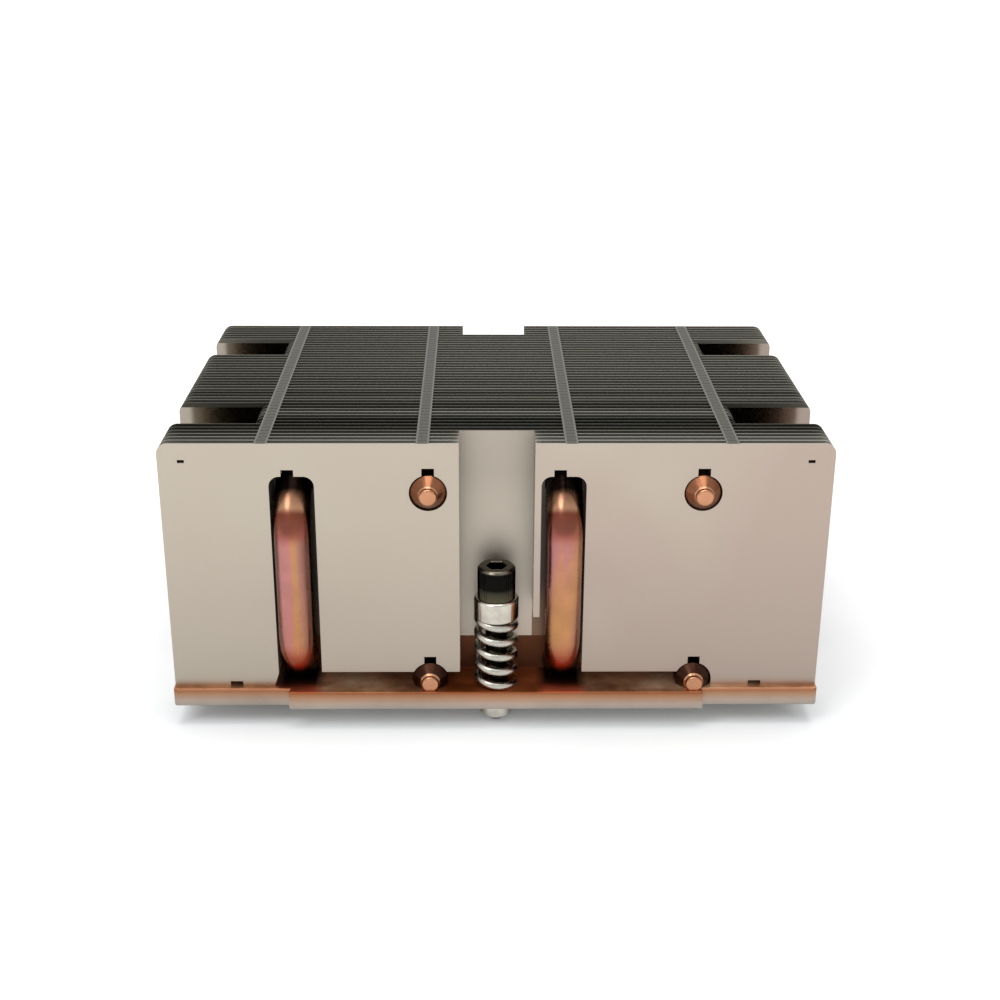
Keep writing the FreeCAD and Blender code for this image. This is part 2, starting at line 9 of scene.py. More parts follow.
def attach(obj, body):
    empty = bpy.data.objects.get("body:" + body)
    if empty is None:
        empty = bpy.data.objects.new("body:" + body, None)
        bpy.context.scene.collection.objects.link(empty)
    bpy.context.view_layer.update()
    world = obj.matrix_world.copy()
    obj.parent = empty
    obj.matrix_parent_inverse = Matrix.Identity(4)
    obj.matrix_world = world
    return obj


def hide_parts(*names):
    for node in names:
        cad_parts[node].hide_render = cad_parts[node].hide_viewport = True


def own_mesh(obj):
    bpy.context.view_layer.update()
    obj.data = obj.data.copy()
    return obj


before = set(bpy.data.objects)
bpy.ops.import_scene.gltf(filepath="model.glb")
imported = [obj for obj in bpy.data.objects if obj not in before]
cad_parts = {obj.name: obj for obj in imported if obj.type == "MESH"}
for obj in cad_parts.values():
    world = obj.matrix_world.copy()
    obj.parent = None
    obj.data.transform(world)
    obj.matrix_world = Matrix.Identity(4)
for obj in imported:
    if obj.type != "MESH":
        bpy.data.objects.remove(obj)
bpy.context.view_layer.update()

# ---- Base plate ----------------------------------------------------------------------------------
# One copper plate, milled all over, with a raised contact foot below. The edges are broken with a fine
# chamfer. Soldering the fins has left brown flux oxide on top; the sides and the foot stay brighter.
# Painted reflection, highlight and shade colour the sides, the broken edges and the pipes' feet.

MM = 0.001
PLATE_BOTTOM = 5.0 * MM
PLATE_TOP = 9.3 * MM
PLATE_SIDE = 72.5 * MM
WING_FRONT = 48.1 * MM
CENTRE_FRONT = 50.0 * MM
EDGE_BREAK = 0.35 * MM
OUTER_PIPE = 44.4 * MM
INNER_PIPE = 14.8 * MM


def linear(colour):
    """The linear RGBA of an sRGB colour written as six hex digits."""
    parts = np.array([int(colour[i:i + 2], 16) for i in (0, 2, 4)]) / 255
    parts = np.where(parts <= 0.04045, parts / 12.92, ((parts + 0.055) / 1.055) ** 2.4)
    return (*parts.tolist(), 1.0)


def empty_material(name):
    """A new material and its node tree, with no nodes in it."""
    material = bpy.data.materials.new(name)
    material.use_nodes = True
    material.node_tree.nodes.clear()
    return material, material.node_tree


def add_node(tree, kind, inputs=None, stops=None, **settings):
    """Add one node. inputs maps a socket's name or number to a value or to another node's output, and
    stops gives a colour ramp's places and colours."""
    node = tree.nodes.new(kind)
    for name, value in settings.items():
        setattr(node, name, value)
    for name, value in (inputs or {}).items():
        if isinstance(value, bpy.types.NodeSocket):
            tree.links.new(value, node.inputs[name])
        else:
            node.inputs[name].default_value = value
    if stops:
        elements = node.color_ramp.elements
        for place, colour in stops[2:]:
            elements.new(place)
        for element, (place, colour) in zip(elements, sorted(stops)):
            element.position, element.color = place, linear(colour)
    return node


def milled_copper():
    """Milled copper: cutter lines 0.5 mm apart (real ones are finer, but would not show), sides in painted
    reflection, greyer low down, and broken upper edges painted bright as a highlight. Upward faces have
    dull oxide in patches some 14 mm wide, dark brown by the screws and browner along the rim, and are
    matt under the fins. Upright faces above the plate, as on the pipe block, are painted dark brown as
    shade. The pipes' feet stand in black painted shade, with a painted red-brown reflection before them."""
    material, tree = empty_material("milled_copper")
    place = add_node(tree, "ShaderNodeTexCoord").outputs["Object"]
    axes = add_node(tree, "ShaderNodeSeparateXYZ", {0: place})
    normal = add_node(tree, "ShaderNodeSeparateXYZ", {
        0: add_node(tree, "ShaderNodeNewGeometry").outputs["Normal"]})
    patches = add_node(tree, "ShaderNodeTexNoise", {
        "Vector": place, "Scale": 1 / (14.286 * MM), "Detail": 4.0, "Roughness": 0.6})

    # Oxide on the upward faces. The lip goes from 0 under the fins to 1 at the middle's front or rear.
    reach = add_node(tree, "ShaderNodeMath", {0: axes.outputs["Y"]}, operation="ABSOLUTE")
    lip = add_node(tree, "ShaderNodeMapRange", {
        0: reach.outputs[0], "From Min": CENTRE_FRONT - 9.0 * MM, "From Max": CENTRE_FRONT})
    oxide = add_node(tree, "ShaderNodeValToRGB", {0: patches.outputs[0]}, stops=[
        (0.35, "b8805a"), (0.5, "d29e78"), (0.68, "deba9c")])
    beside = add_node(tree, "ShaderNodeMath", {0: axes.outputs["X"]}, operation="ABSOLUTE")
    by_screw = add_node(tree, "ShaderNodeMapRange", {
        0: beside.outputs[0], "From Min": 11.0 * MM, "From Max": 17.0 * MM, "To Min": 0.95, "To Max": 0.0})
    at_rim = add_node(tree, "ShaderNodeMapRange", {0: lip.outputs[0], "From Min": 0.75, "To Max": 0.45})
    browned = add_node(tree, "ShaderNodeMath", {
        0: by_screw.outputs[0], 1: at_rim.outputs[0]}, operation="MAXIMUM")
    top_tone_with_painted_light = add_node(tree, "ShaderNodeMix", {
        0: browned.outputs[0], 6: oxide.outputs[0], 7: linear("8c461e")}, data_type="RGBA")

    # Painted shade and reflection at the pipes' feet: black under the bends, then a red-brown reflection of
    # the pipes before them. The rear pipes stand on the other side of the middle line, so the sign of Y
    # turns X round.
    end = add_node(tree, "ShaderNodeMath", {0: axes.outputs["Y"]}, operation="SIGN")
    seat = add_node(tree, "ShaderNodeMath", {
        0: axes.outputs["X"], 1: end.outputs[0]}, operation="MULTIPLY")
    from_pipes = []
    for pipe_place in (OUTER_PIPE, -INNER_PIPE):
        offset = add_node(tree, "ShaderNodeMath", {0: seat.outputs[0], 1: pipe_place}, operation="SUBTRACT")
        from_pipes.append(add_node(tree, "ShaderNodeMath", {0: offset.outputs[0]}, operation="ABSOLUTE"))
    from_pipe = add_node(tree, "ShaderNodeMath", {
        0: from_pipes[0].outputs[0], 1: from_pipes[1].outputs[0]}, operation="MINIMUM")
    at_foot = add_node(tree, "ShaderNodeMapRange", {
        0: from_pipe.outputs[0], "From Min": 3.464 * MM, "From Max": 6.062 * MM,
        "To Min": 1.0, "To Max": 0.0})
    foot_painted_shade_and_reflection = add_node(tree, "ShaderNodeValToRGB", {0: lip.outputs[0]}, stops=[
        (0.0, "120a07"), (0.3, "1c0f0a"), (0.5, "4a2216"), (0.72, "cc6444"), (1.0, "e87c56")])
    top_tone_with_painted_light = add_node(tree, "ShaderNodeMix", {
        0: at_foot.outputs[0], 6: top_tone_with_painted_light.outputs[2], 7: foot_painted_shade_and_reflection.outputs[0]}, data_type="RGBA")

    # The sides, from the plate's bottom to the foot of the block's wall: painted reflection, greyer low
    # down and more coppery higher up, then painted shade, dark brown, on the block's wall above; and the
    # broken edges.
    side = add_node(tree, "ShaderNodeMapRange", {
        0: axes.outputs["Z"], "From Min": PLATE_BOTTOM, "From Max": PLATE_TOP + 0.5 * MM})
    side_painted_reflection_and_shade = add_node(tree, "ShaderNodeValToRGB", {0: side.outputs[0]}, stops=[
        (0.0, "a19b93"), (0.3, "ae9c8f"), (0.6, "ab856a"), (0.86, "9a6342"), (0.96, "6a442f")])
    # The broken edges: a painted highlight, brighter than the sides, less so at the middle's front and rear.
    edge = add_node(tree, "ShaderNodeMapRange", {
        0: normal.outputs["Z"], "From Min": 0.2, "From Max": 0.45})
    edge_tone_with_painted_light = add_node(tree, "ShaderNodeValToRGB", {0: lip.outputs[0]}, stops=[
        (0.8, "c08a6a"), (0.9, "8e583a")])
    broken = add_node(tree, "ShaderNodeMix", {
        0: edge.outputs[0], 6: side_painted_reflection_and_shade.outputs[0], 7: edge_tone_with_painted_light.outputs[0]}, data_type="RGBA")
    upward = add_node(tree, "ShaderNodeMapRange", {
        0: normal.outputs["Z"], "From Min": 0.85, "From Max": 0.98})
    colour = add_node(tree, "ShaderNodeMix", {
        0: upward.outputs[0], 6: broken.outputs[2], 7: top_tone_with_painted_light.outputs[2]}, data_type="RGBA")
    tone_with_painted_light = add_node(tree, "ShaderNodeMix", {
        0: 0.35, 6: colour.outputs[2], 7: patches.outputs[0]}, data_type="RGBA", blend_type="OVERLAY")

    rough = add_node(tree, "ShaderNodeMapRange", {
        0: patches.outputs[0], "From Min": 0.3, "From Max": 0.7, "To Min": 0.38, "To Max": 0.6})
    sheltered = add_node(tree, "ShaderNodeMapRange", {
        0: lip.outputs[0], "From Min": 0.25, "From Max": 0.6, "To Min": 1.0, "To Max": 0.0})
    sheltered = add_node(tree, "ShaderNodeMath", {
        0: sheltered.outputs[0], 1: upward.outputs[0]}, operation="MULTIPLY")
    rough = add_node(tree, "ShaderNodeMix", {0: sheltered.outputs[0], 2: rough.outputs[0], 3: 0.8})
    stretched = add_node(tree, "ShaderNodeMapping", {
        "Vector": place, "Scale": (1 / (40.0 * MM), 1 / (0.5 * MM), 1 / (0.5 * MM))})
    lines = add_node(tree, "ShaderNodeTexNoise", {
        "Vector": stretched.outputs[0], "Scale": 1.0, "Detail": 2.0})
    bump = add_node(tree, "ShaderNodeBump", {
        "Height": lines.outputs[0], "Strength": 0.35, "Distance": 0.02 * MM})
    shader = add_node(tree, "ShaderNodeBsdfPrincipled", {
        "Base Color": tone_with_painted_light.outputs[2], "Metallic": 1.0, "Roughness": rough.outputs[0],
        "Normal": bump.outputs[0]})
    add_node(tree, "ShaderNodeOutputMaterial", {0: shader.outputs[0]})
    return material


def break_outer_edges(mesh):
    """Chamfer the edges where a level face meets an upright one: those within 1 mm of the plate's sides,
    its small rounded corners among them, those at its front and rear, and those of the contact foot."""
    hair = 0.01 * MM
    bm = bmesh.new()
    bm.from_mesh(mesh)
    bmesh.ops.remove_doubles(bm, verts=bm.verts, dist=1e-6)
    bmesh.ops.dissolve_limit(bm, angle_limit=math.radians(0.5), verts=bm.verts, edges=bm.edges)
    chosen = []
    for edge in bm.edges:
        middle = (edge.verts[0].co + edge.verts[1].co) / 2
        tilts = sorted(abs(face.normal.z) for face in edge.link_faces)
        if len(tilts) == 2 and tilts[0] < 0.01 and tilts[1] > 0.99:
            at_side = abs(middle.x) > PLATE_SIDE - 1.0 * MM
            at_end = abs(middle.y) > WING_FRONT - hair
            if at_side or at_end or middle.z < hair:
                chosen.append(edge)
    bmesh.ops.bevel(bm, geom=chosen, offset=EDGE_BREAK, segments=2, profile=0.6, affect="EDGES",
                    clamp_overlap=False)
    bm.to_mesh(mesh)
    bm.free()


def add_piece(name, mesh, material, body):
    """Link a finished mesh as a piece of the object, riding on a body and taking its finish from a slot."""
    piece = bpy.data.objects.new(name, mesh)
    bpy.context.scene.collection.objects.link(piece)
    mesh.materials.clear()
    mesh.materials.append(material)
    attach(piece, body)
    return piece


copper_plate = milled_copper()
plate_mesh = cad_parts["base_plate"].data.copy()
break_outer_edges(plate_mesh)
plate = add_piece("milled_base_plate", plate_mesh, copper_plate, "heatsink")
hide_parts("base_plate")

# ---- Pipe block ----------------------------------------------------------------------------------
# A copper block soldered on the plate over the lower legs of the pipes. Its front and rear faces close
# the screw notches behind the springs, where the plate's finish paints them dark brown as shade.


def paint(names, material):
    """Give finished solids of the frame their real material."""
    for name in names:
        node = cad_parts[name]
        node.data.materials.clear()
        node.data.materials.append(material)


paint(["pipe_block"], copper_plate)

# ---- Heat pipes ----------------------------------------------------------------------------------
# Four drawn copper tubes, bent to a C, their ends swaged to a cone and welded shut in a round nub. Heat
# from bending and soldering has left rose, gold and brown tints in streaks along the tube; the bends and
# ends carry painted reflection, highlight and shade.

PIPE_RADIUS = 4.0 * MM
BEND_RADIUS = 12.0 * MM
LEG_LEVELS = (10.75 * MM, 55.9 * MM)
LEG_END = 46.0 * MM
UPRIGHT = -46.0 * MM
CONE_LENGTH = 2.2 * MM
NUB_RADIUS = 1.9 * MM
NUB_LENGTH = 1.1 * MM
NUB_ROUND = 0.5 * MM
PIPE_SIDES = 48
TUBE_MIDDLE = 112.75 * MM
TINTED_HALF = 111.3 * MM


def drawn_copper():
    """Drawn copper tube, its map giving the offset across it and the length along it: die lines 2 mm
    wide, streaks of rose and gold along the tube, and painted light by length: dark painted shade on the
    lower cones, a red painted reflection above black painted shade in the lower bend, a brown band of
    painted reflection, a painted highlight and black painted shade at the upper bend, and nubs painted
    bright as a highlight. To the right, gold turns to rose up the tube instead."""
    material, tree = empty_material("drawn_copper_tube")
    place = add_node(tree, "ShaderNodeTexCoord").outputs["Object"]
    tube = add_node(tree, "ShaderNodeSeparateXYZ", {
        0: add_node(tree, "ShaderNodeUVMap", uv_map="tube").outputs[0]})
    die_lines = add_node(tree, "ShaderNodeMapping", {
        "Vector": place, "Scale": (1 / (2.0 * MM), 1 / (33.333 * MM), 1 / (33.333 * MM))})
    streaks = add_node(tree, "ShaderNodeTexNoise", {
        "Vector": die_lines.outputs[0], "Scale": 1.0, "Detail": 3.0, "Roughness": 0.5})

    # Streaks: by the offset across the tube on the left, mostly by the length along it on the right.
    offset = add_node(tree, "ShaderNodeMapRange", {
        0: tube.outputs[0], "From Min": -PIPE_RADIUS, "From Max": PIPE_RADIUS,
        "To Min": -0.22, "To Max": 0.78})
    fall = add_node(tree, "ShaderNodeMapRange", {
        0: tube.outputs[1], "From Min": 100.0 * MM, "From Max": 122.0 * MM, "To Min": 0.38, "To Max": 0.16})
    crown = add_node(tree, "ShaderNodeMath", {
        0: offset.outputs[0], 1: 0.25, 2: fall.outputs[0]}, operation="MULTIPLY_ADD")
    right = add_node(tree, "ShaderNodeMath", {
        0: add_node(tree, "ShaderNodeSeparateXYZ", {0: place}).outputs["X"], 1: 0.0},
        operation="GREATER_THAN")
    blend = add_node(tree, "ShaderNodeMix", {
        0: right.outputs[0], 2: offset.outputs[0], 3: crown.outputs[0]})
    wander = add_node(tree, "ShaderNodeMath", {
        0: streaks.outputs[0], 1: 0.45, 2: blend.outputs[0]}, operation="MULTIPLY_ADD")
    streak_colour = add_node(tree, "ShaderNodeValToRGB", {0: wander.outputs[0]}, stops=[
        (0.04, "543a2e"), (0.2, "a87471"), (0.42, "ac7471"), (0.5, "af7e54"), (0.62, "ad834b"),
        (0.75, "a0785d"), (0.9, "7e5c4e"), (1.0, "543e31")])

    # Zones of painted light along the tube, from the start of the lower bend to a little past the upper
    # one: painted shade, reflection and highlight in the bends.
    length = add_node(tree, "ShaderNodeMapRange", {
        0: tube.outputs[1], "From Min": 84.0 * MM, "From Max": 150.0 * MM})
    zone_painted_light = add_node(tree, "ShaderNodeValToRGB", {0: length.outputs[0]}, stops=[
        (0.0, "38231a"), (0.1, "301710"), (0.15, "1a0d08"), (0.18, "80402e"), (0.215, "a4523a"),
        (0.26, "b6715a"), (0.5, "b07570"), (0.6, "a86e68"), (0.625, "86493f"), (0.65, "744034"),
        (0.69, "723d2e"), (0.705, "b08468"), (0.735, "7c5844"), (0.755, "150e0b"), (0.95, "150e0b"),
        (1.0, "86583f")])
    strength = add_node(tree, "ShaderNodeValToRGB", {0: length.outputs[0]}, stops=[
        (0.21, "ffffff"), (0.26, "9a9a9a"), (0.6, "9a9a9a"), (0.635, "f2f2f2"), (0.7, "ffffff")])
    tint = add_node(tree, "ShaderNodeMix", {
        0: strength.outputs[0], 6: streak_colour.outputs[0], 7: zone_painted_light.outputs[0]},
        data_type="RGBA")
    # Past the tinted middle, the nubs are painted bright: a painted highlight.
    between_nubs = add_node(tree, "ShaderNodeMath", {
        0: tube.outputs[1], 1: TUBE_MIDDLE, 2: TINTED_HALF}, operation="COMPARE")
    tint = add_node(tree, "ShaderNodeMix", {
        0: between_nubs.outputs[0], 6: linear("b88464"), 7: tint.outputs[2]}, data_type="RGBA")

    smudges = add_node(tree, "ShaderNodeTexNoise", {
        "Vector": place, "Scale": 1 / (4.545 * MM), "Detail": 3.0})
    colour = add_node(tree, "ShaderNodeMix", {
        0: 0.25, 6: tint.outputs[2], 7: smudges.outputs[0]}, data_type="RGBA", blend_type="OVERLAY")
    rough = add_node(tree, "ShaderNodeMapRange", {
        0: smudges.outputs[0], "From Min": 0.3, "From Max": 0.7, "To Min": 0.2, "To Max": 0.34})
    bump = add_node(tree, "ShaderNodeBump", {
        "Height": streaks.outputs[0], "Strength": 0.25, "Distance": 0.03 * MM})
    shader = add_node(tree, "ShaderNodeBsdfPrincipled", {
        "Base Color": colour.outputs[2], "Metallic": 1.0, "Roughness": rough.outputs[0],
        "Normal": bump.outputs[0]})
    add_node(tree, "ShaderNodeOutputMaterial", {0: shader.outputs[0]})
    return material


def surface(name, grid, closed_rows=False):
    """A smooth mesh through a grid of points (rows, columns, xyz). Each row is a closed ring; rows join to
    the next, and the last to the first if closed_rows. Otherwise a fan to the middle closes each end.
    The sign of the volume turns the faces outwards, and edges over 35 degrees stay sharp."""
    rows, columns = grid.shape[:2]
    row, column = np.meshgrid(np.arange(rows if closed_rows else rows - 1), np.arange(columns),
                              indexing="ij")
    after, beside = (row + 1) % rows, (column + 1) % columns
    quads = np.stack([row * columns + column, row * columns + beside,
                      after * columns + beside, after * columns + column], -1).reshape(-1, 4)
    points = grid.reshape(-1, 3)
    a, b, c, d = (points[quads[:, i]] for i in range(4))
    volume = (np.einsum("ij,ij->i", a, np.cross(b, c)) + np.einsum("ij,ij->i", a, np.cross(c, d))).sum()
    faces = quads.tolist()
    if not closed_rows:
        ring = np.arange(columns)
        beyond = (ring + 1) % columns
        last = (rows - 1) * columns
        points = np.vstack([points, grid[0].mean(0), grid[-1].mean(0)])
        faces += np.stack([np.full(columns, rows * columns), beyond, ring], -1).tolist()
        faces += np.stack([np.full(columns, rows * columns + 1), last + ring, last + beyond], -1).tolist()
    if volume < 0:
        faces = [face[::-1] for face in faces]
    mesh = bpy.data.meshes.new(name)
    mesh.from_pydata(points.tolist(), [], faces)
    mesh.polygons.foreach_set("use_smooth", np.ones(len(faces), bool))
    mesh.set_sharp_from_angle(angle=math.radians(35.0))
    mesh.update()
    return mesh


def pipe_path():
    """The centre line from the lower nub to the upper one, as (y, z) points with their radii: straight
    legs, quarter circles at the bends, and at each end a cone and a nub with a rounded edge. Close pairs
    of points keep the cone's two edges crisp."""
    low, high = LEG_LEVELS
    turn = np.linspace(0, math.pi / 2, 17)
    nub_turn = np.array([1.0, 0.8, 0.55, 0.3, 0.0]) * math.pi / 2
    close = 0.15 * MM
    cone_end = LEG_END + CONE_LENGTH
    nub_end = cone_end + NUB_LENGTH
    tip_y = np.concatenate([nub_end - NUB_ROUND * (1 - np.sin(nub_turn)),
                            [cone_end + 0.05 * MM, cone_end - close, LEG_END + close, LEG_END]])
    tip_radii = np.concatenate([NUB_RADIUS - NUB_ROUND * (1 - np.cos(nub_turn)),
                                [NUB_RADIUS, NUB_RADIUS + close, PIPE_RADIUS - 0.1 * MM, PIPE_RADIUS]])
    leg_y = np.linspace(LEG_END - 0.4 * MM, UPRIGHT + BEND_RADIUS, 24)[:-1]
    straight_y = np.concatenate([tip_y, leg_y])
    straight = np.stack([straight_y, np.full(len(straight_y), low)], -1)
    bend = np.stack([UPRIGHT + BEND_RADIUS * (1 - np.sin(turn)),
                     low + BEND_RADIUS * (1 - np.cos(turn))], -1)
    rise = np.linspace(low + BEND_RADIUS, high - BEND_RADIUS, 12)[1:-1]
    upright = np.stack([np.full(len(rise), UPRIGHT), rise], -1)
    lower = np.concatenate([straight, bend])
    upper = lower[::-1] * [1, -1] + [0, low + high]
    line = np.concatenate([lower, upright, upper])
    radii = np.full(len(line), PIPE_RADIUS)
    radii[:len(tip_radii)] = tip_radii
    radii[-len(tip_radii):] = tip_radii[::-1]
    return line, radii


def pipe_surface(name, place, half_turn):
    """The tube: circles of the path's radius, square to the path, in the plane x = place. Its map, in
    metres, holds each point's offset across the tube and its length along the path."""
    line, radii = pipe_path()
    ahead = np.gradient(line, axis=0)
    ahead /= np.linalg.norm(ahead, axis=1, keepdims=True)
    outward = np.stack([ahead[:, 1], -ahead[:, 0]], -1)
    around = np.linspace(0, 2 * math.pi, PIPE_SIDES, endpoint=False)
    across = radii[:, None] * np.cos(around)
    within = radii[:, None] * np.sin(around)
    grid = np.empty((len(line), PIPE_SIDES, 3))
    grid[..., 0] = place + across
    grid[..., 1:] = line[:, None] + within[..., None] * outward[:, None]
    if half_turn:
        grid[..., :2] *= -1
    mesh = surface(name, grid)
    steps = np.linalg.norm(np.diff(line, axis=0), axis=1)
    length = np.concatenate([[0.0], np.cumsum(steps)])
    chart = np.stack([across, np.repeat(length[:, None], PIPE_SIDES, 1)], -1).reshape(-1, 2)
    chart = np.vstack([chart, [[0.0, 0.0], [0.0, length[-1]]]])
    corner = np.empty(len(mesh.loops), int)
    mesh.loops.foreach_get("vertex_index", corner)
    mesh.uv_layers.new(name="tube").data.foreach_set("uv", chart[corner].ravel())
    return mesh


copper_tube = drawn_copper()
for node, place, half_turn in (
        ("front_bend_outer_pipe", -OUTER_PIPE, False), ("front_bend_inner_pipe", INNER_PIPE, False),
        ("rear_bend_outer_pipe", -OUTER_PIPE, True), ("rear_bend_inner_pipe", INNER_PIPE, True)):
    pipe_mesh = pipe_surface(f"{node}_tube", place, half_turn)
    pipe = add_piece(f"{node}_tube", pipe_mesh, copper_tube, "heatsink")
    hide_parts(node)

# ---- Fin stack -----------------------------------------------------------------------------------
# Forty-five rows of fins stamped from thin bright-rolled sheet, their folded tabs reaching to the next row,
# soldered to the pipes. The faces mirror the room with a warm grey cast; the sheared edges are matt, and
# painted shade and light lie in bands on the top edges, inside the stack and on the notch walls.

STACK_FRONT = 46.3 * MM
FIN_TOP = 67.2 * MM
FIN_PITCH = 2.0955 * MM
TAB_PLACES = (15.9 * MM, 50.2 * MM)
TAB_HALF = 1.45 * MM
NOTCH_HALF = 8.2 * MM
NOTCH_BACK = 37.6 * MM


def rolled_fin_sheet():
    """Satin-rolled sheet: faint upright rolling marks 0.6 mm apart, slow waves of warm and cool grey some
    40 mm long, and painted shade darkening the faces near the base. Faces inside the stack are painted
    dark as shade, browner towards the base, lighter and glossier near the sides; the walls of the screw
    notches are painted pale as light, paler towards the foot, and matt. The top edges are painted dark
    as shade, in uneven bands over the first rows and darker to the left, and each fold of the tab rows
    has a joint and a painted highlight as a bright rim."""
    material, tree = empty_material("rolled_fin_sheet")
    place = add_node(tree, "ShaderNodeTexCoord").outputs["Object"]
    axes = add_node(tree, "ShaderNodeSeparateXYZ", {0: place})
    normal = add_node(tree, "ShaderNodeSeparateXYZ", {
        0: add_node(tree, "ShaderNodeNewGeometry").outputs["Normal"]})
    sideways = add_node(tree, "ShaderNodeMath", {0: axes.outputs["X"]}, operation="ABSOLUTE")
    outermost = add_node(tree, "ShaderNodeMath", {0: axes.outputs["Y"]}, operation="ABSOLUTE")
    upward = add_node(tree, "ShaderNodeMath", {
        0: normal.outputs["Z"], 1: 0.7}, operation="GREATER_THAN")

    # Behind the outermost fins, a point lies either on the walls of a notch or inside the stack. The
    # notch is taken a little wider and deeper than it is, so that its own walls count.
    behind = add_node(tree, "ShaderNodeMath", {
        0: outermost.outputs[0], 1: STACK_FRONT - 0.6 * MM}, operation="LESS_THAN")
    central = add_node(tree, "ShaderNodeMath", {
        0: sideways.outputs[0], 1: NOTCH_HALF}, operation="LESS_THAN")
    split = add_node(tree, "ShaderNodeMath", {
        0: outermost.outputs[0], 1: NOTCH_BACK}, operation="GREATER_THAN")
    in_notch = add_node(tree, "ShaderNodeMath", {
        0: central.outputs[0], 1: split.outputs[0]}, operation="MULTIPLY")
    open_wall = add_node(tree, "ShaderNodeMath", {
        0: behind.outputs[0], 1: in_notch.outputs[0]}, operation="MULTIPLY")
    inside = add_node(tree, "ShaderNodeMath", {
        0: behind.outputs[0], 1: in_notch.outputs[0]}, operation="SUBTRACT", use_clamp=True)

    # Outer faces: waves of grey, warmer to the right, and painted shade darkening them near the base.
    waves = add_node(tree, "ShaderNodeTexNoise", {
        "Vector": place, "Scale": 1 / (41.667 * MM), "Detail": 2.0})
    warmth = add_node(tree, "ShaderNodeMapRange", {
        0: axes.outputs["X"], "From Min": -72.0 * MM, "From Max": 72.0 * MM, "To Min": -0.25, "To Max": 0.25})
    cast = add_node(tree, "ShaderNodeMath", {
        0: waves.outputs[0], 1: warmth.outputs[0]}, operation="ADD")
    face_tone_and_painted_shade = add_node(tree, "ShaderNodeValToRGB", {0: cast.outputs[0]}, stops=[
        (0.25, "b2a99b"), (0.5, "b1a699"), (0.75, "ac9c91")])
    low = add_node(tree, "ShaderNodeMapRange", {
        0: axes.outputs["Z"], "From Min": 9.0 * MM, "From Max": 50.0 * MM, "To Min": 0.22, "To Max": 0.0})
    face_tone_and_painted_shade = add_node(tree, "ShaderNodeMix", {
        0: low.outputs[0], 6: face_tone_and_painted_shade.outputs[0], 7: linear("857b74")}, data_type="RGBA")

    # Faces inside the stack: painted shade, dark, browner towards the base and lighter near the sides.
    shaded = add_node(tree, "ShaderNodeMapRange", {
        0: sideways.outputs[0], "From Min": 50.0 * MM, "From Max": 68.0 * MM, "To Min": 0.85, "To Max": 0.35})
    shaded = add_node(tree, "ShaderNodeMath", {
        0: inside.outputs[0], 1: shaded.outputs[0]}, operation="MULTIPLY")
    near_base = add_node(tree, "ShaderNodeMapRange", {
        0: axes.outputs["Z"], "From Min": 18.0 * MM, "From Max": 32.0 * MM, "To Min": 1.0, "To Max": 0.0})
    facing = add_node(tree, "ShaderNodeMath", {0: normal.outputs["Y"]}, operation="ABSOLUTE")
    browner_near_base = add_node(tree, "ShaderNodeMath", {
        0: near_base.outputs[0], 1: facing.outputs[0]}, operation="MULTIPLY")
    inner_painted_shade = add_node(tree, "ShaderNodeMix", {
        0: browner_near_base.outputs[0], 6: linear("2e2a26"), 7: linear("664c38")}, data_type="RGBA")
    wall_colour = add_node(tree, "ShaderNodeMix", {
        0: shaded.outputs[0], 6: face_tone_and_painted_shade.outputs[2], 7: inner_painted_shade.outputs[2]}, data_type="RGBA")

    # Walls of the notches, painted paler than the faces as light, and paler towards the foot.
    climb = add_node(tree, "ShaderNodeMapRange", {
        0: axes.outputs["Z"], "From Min": 15.0 * MM, "From Max": 58.0 * MM})
    notch_painted_light = add_node(tree, "ShaderNodeMix", {
        0: climb.outputs[0], 6: linear("dcd2c4"), 7: linear("aca498")}, data_type="RGBA")
    wall_colour = add_node(tree, "ShaderNodeMix", {
        0: open_wall.outputs[0], 6: wall_colour.outputs[2], 7: notch_painted_light.outputs[2]},
        data_type="RGBA")

    # Top edges, and the uppermost 1.1 mm inside the stack: painted shade and light in bands over the first
    # 50 mm from the front, darker to the left.
    near_top = add_node(tree, "ShaderNodeMath", {
        0: axes.outputs["Z"], 1: FIN_TOP - 1.1 * MM}, operation="GREATER_THAN")
    near_top = add_node(tree, "ShaderNodeMath", {
        0: near_top.outputs[0], 1: inside.outputs[0]}, operation="MULTIPLY")
    near_top = add_node(tree, "ShaderNodeMath", {
        0: near_top.outputs[0], 1: upward.outputs[0]}, operation="MAXIMUM")
    depth = add_node(tree, "ShaderNodeMapRange", {
        0: axes.outputs["Y"], "From Min": -STACK_FRONT, "From Max": 50.0 * MM - STACK_FRONT})
    top_tone_with_painted_light = add_node(tree, "ShaderNodeValToRGB", {0: depth.outputs[0]}, stops=[
        (0.0, "b5b4aa"), (0.1, "98978d"), (0.15, "75746a"), (0.21, "4a4941"), (0.31, "34332c"),
        (0.36, "48473f"), (0.40, "929186"), (0.44, "8e8d82"), (0.49, "5a5950"), (0.53, "48473f"),
        (0.58, "6a6960"), (0.617, "8c8b80"), (0.66, "68675d"), (0.706, "5a5950"), (0.767, "8c8b80"),
        (0.82, "6e6d63"), (1.0, "7f7e74")])
    leftward = add_node(tree, "ShaderNodeMapRange", {
        0: axes.outputs["X"], "From Min": -60.0 * MM, "From Max": -5.0 * MM, "To Min": 0.35, "To Max": 0.0})
    top_tone_with_painted_light = add_node(tree, "ShaderNodeMix", {
        0: leftward.outputs[0], 6: top_tone_with_painted_light.outputs[0], 7: linear("35302a")}, data_type="RGBA")
    edge_tone_with_painted_light = add_node(tree, "ShaderNodeMix", {
        0: near_top.outputs[0], 6: wall_colour.outputs[2], 7: top_tone_with_painted_light.outputs[2]}, data_type="RGBA")
